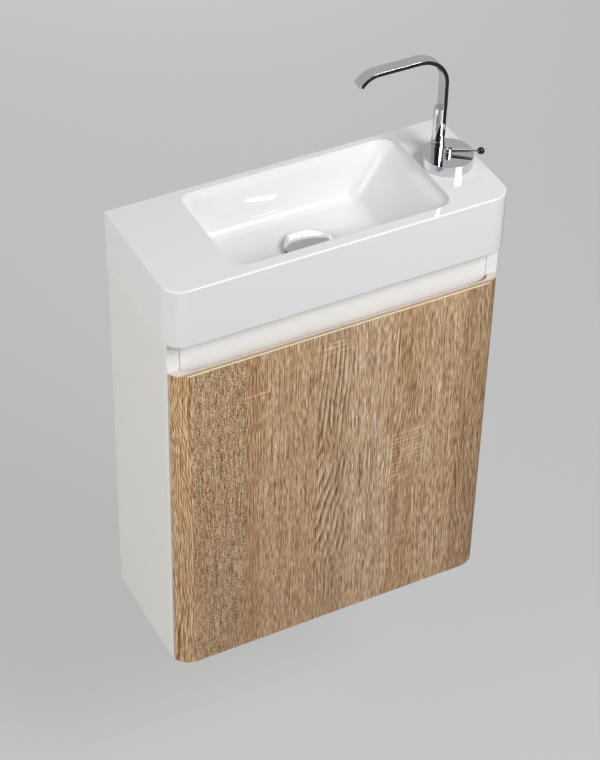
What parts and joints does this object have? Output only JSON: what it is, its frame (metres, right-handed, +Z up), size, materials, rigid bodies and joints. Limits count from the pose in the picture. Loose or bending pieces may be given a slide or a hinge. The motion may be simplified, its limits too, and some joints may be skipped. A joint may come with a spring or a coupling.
{
  "type": "vanity unit",
  "caption": "Compact wall-hung vanity: white basin with a side tap over a one-door oak-look cabinet with shelf, waste and bottle trap.",
  "frame": {"origin": "middle of the line through the two wall screw holes, on the wall plane", "axes": "+X to the viewer's right when facing the door, -Y towards the viewer, +Z up; the wall is the plane Y = 0"},
  "size_m": [0.45, 0.21, 0.75],
  "materials": {
    "basin_ceramic": "glossy white glaze",
    "board_white": "particleboard with a smooth white melamine face",
    "rail_board": "particleboard with a faintly grained white melamine face",
    "door_decor": "particleboard with a vertical oak decor foil and matt lacquer",
    "beech": "raw turned beech",
    "clear_pad": "soft translucent pad",
    "nickel_steel": "nickel-plated pressed steel",
    "steel": "zinc-plated steel",
    "chrome": "bright chrome plate",
    "brass": "machined brass",
    "rubber": "moulded black rubber",
    "black_plastic": "glossy black moulding",
    "white_plastic": "moulded white plastic"
  },
  "bodies": {
    "cabinet": {"basin": "basin_ceramic", "side_panel_left": "board_white", "side_panel_right": "board_white", "bottom_panel": "board_white", "front_rail": "rail_board", "rear_top_rail": "board_white", "rear_bottom_rail": "board_white", "inner_shelf": "board_white", "shelf_pins": "steel", "panel_dowels": "beech", "door_buffers": "clear_pad", "hinge_arms": "nickel_steel", "hinge_arm_pins": "steel", "hinge_arm_screws": "steel", "magnetic_catch": "white_plastic", "catch_screws": "steel", "tap_body": "chrome", "tap_gasket": "rubber", "tap_rubber_washer": "rubber", "tap_clamp_washer": "steel", "tap_fixing_nut": "brass", "control_cartridge": "white_plastic", "column_collar": "chrome", "click_cartridge": "brass", "waste_flange": "chrome", "waste_flange_gasket": "rubber", "waste_cone_washer": "rubber", "waste_back_nut": "brass", "trap_inlet_nut": "chrome", "trap_nut_gasket": "rubber", "trap_inlet_tube": "chrome", "trap_gland_nut": "chrome", "trap_head": "chrome", "trap_cup": "chrome", "trap_outlet_nut": "chrome", "trap_outlet_pipe": "chrome", "wall_rose": "chrome"},
    "hinge_links": {"hinge_links": "nickel_steel"},
    "door": {"door_panel": "door_decor", "hinge_cups": "nickel_steel", "hinge_cup_pins": "steel", "hinge_cup_screws": "steel", "strike_plate": "steel", "strike_screw": "steel"},
    "spout": {"spout_column": "chrome", "spout_arm": "chrome", "spout_set_screw": "steel", "spout_outlet": "black_plastic"},
    "lever_base": {"lever_turret": "chrome", "lever_pin": "steel"},
    "lever": {"lever_rod": "chrome", "lever_knob": "black_plastic"},
    "waste_plug": {"waste_cap": "chrome", "cap_seal": "rubber", "cap_stem": "brass"}
  },
  "joints": [
    {"name": "link_swing", "type": "hinge", "parent": "cabinet", "child": "hinge_links", "pos_m": [0.186, -0.1567, -0.065], "axis": [0, 0, 1], "range_deg": [-40.4, 0]},
    {"name": "door_swing", "type": "hinge", "parent": "hinge_links", "child": "door", "pos_m": [0.211, -0.167, -0.065], "axis": [0, 0, 1], "range_deg": [0, 140.4]},
    {"name": "spout_swivel", "type": "hinge", "parent": "cabinet", "child": "spout", "pos_m": [0.1852, -0.0659, 0.154], "axis": [0, 0, 1], "range_deg": [-25, 70]},
    {"name": "lever_turn", "type": "hinge", "parent": "cabinet", "child": "lever_base", "pos_m": [0.1854, -0.0895, 0.158], "axis": [0, 0, 1], "range_deg": [-45, 45]},
    {"name": "lever_lift", "type": "hinge", "parent": "lever_base", "child": "lever", "pos_m": [0.1854, -0.0895, 0.158], "axis": [-0.5446, -0.8387, 0], "range_deg": [0, 28]},
    {"name": "waste_cap_press", "type": "slide", "parent": "cabinet", "child": "waste_plug", "axis": [0, 0, 1], "range_m": [-0.0033, 0], "stiffness_N_per_m": 500, "springref_m": 0.004}
  ],
  "couplings": [
    {"joint": "link_swing", "follows": "door_swing", "ratio": -0.2877}
  ]
}
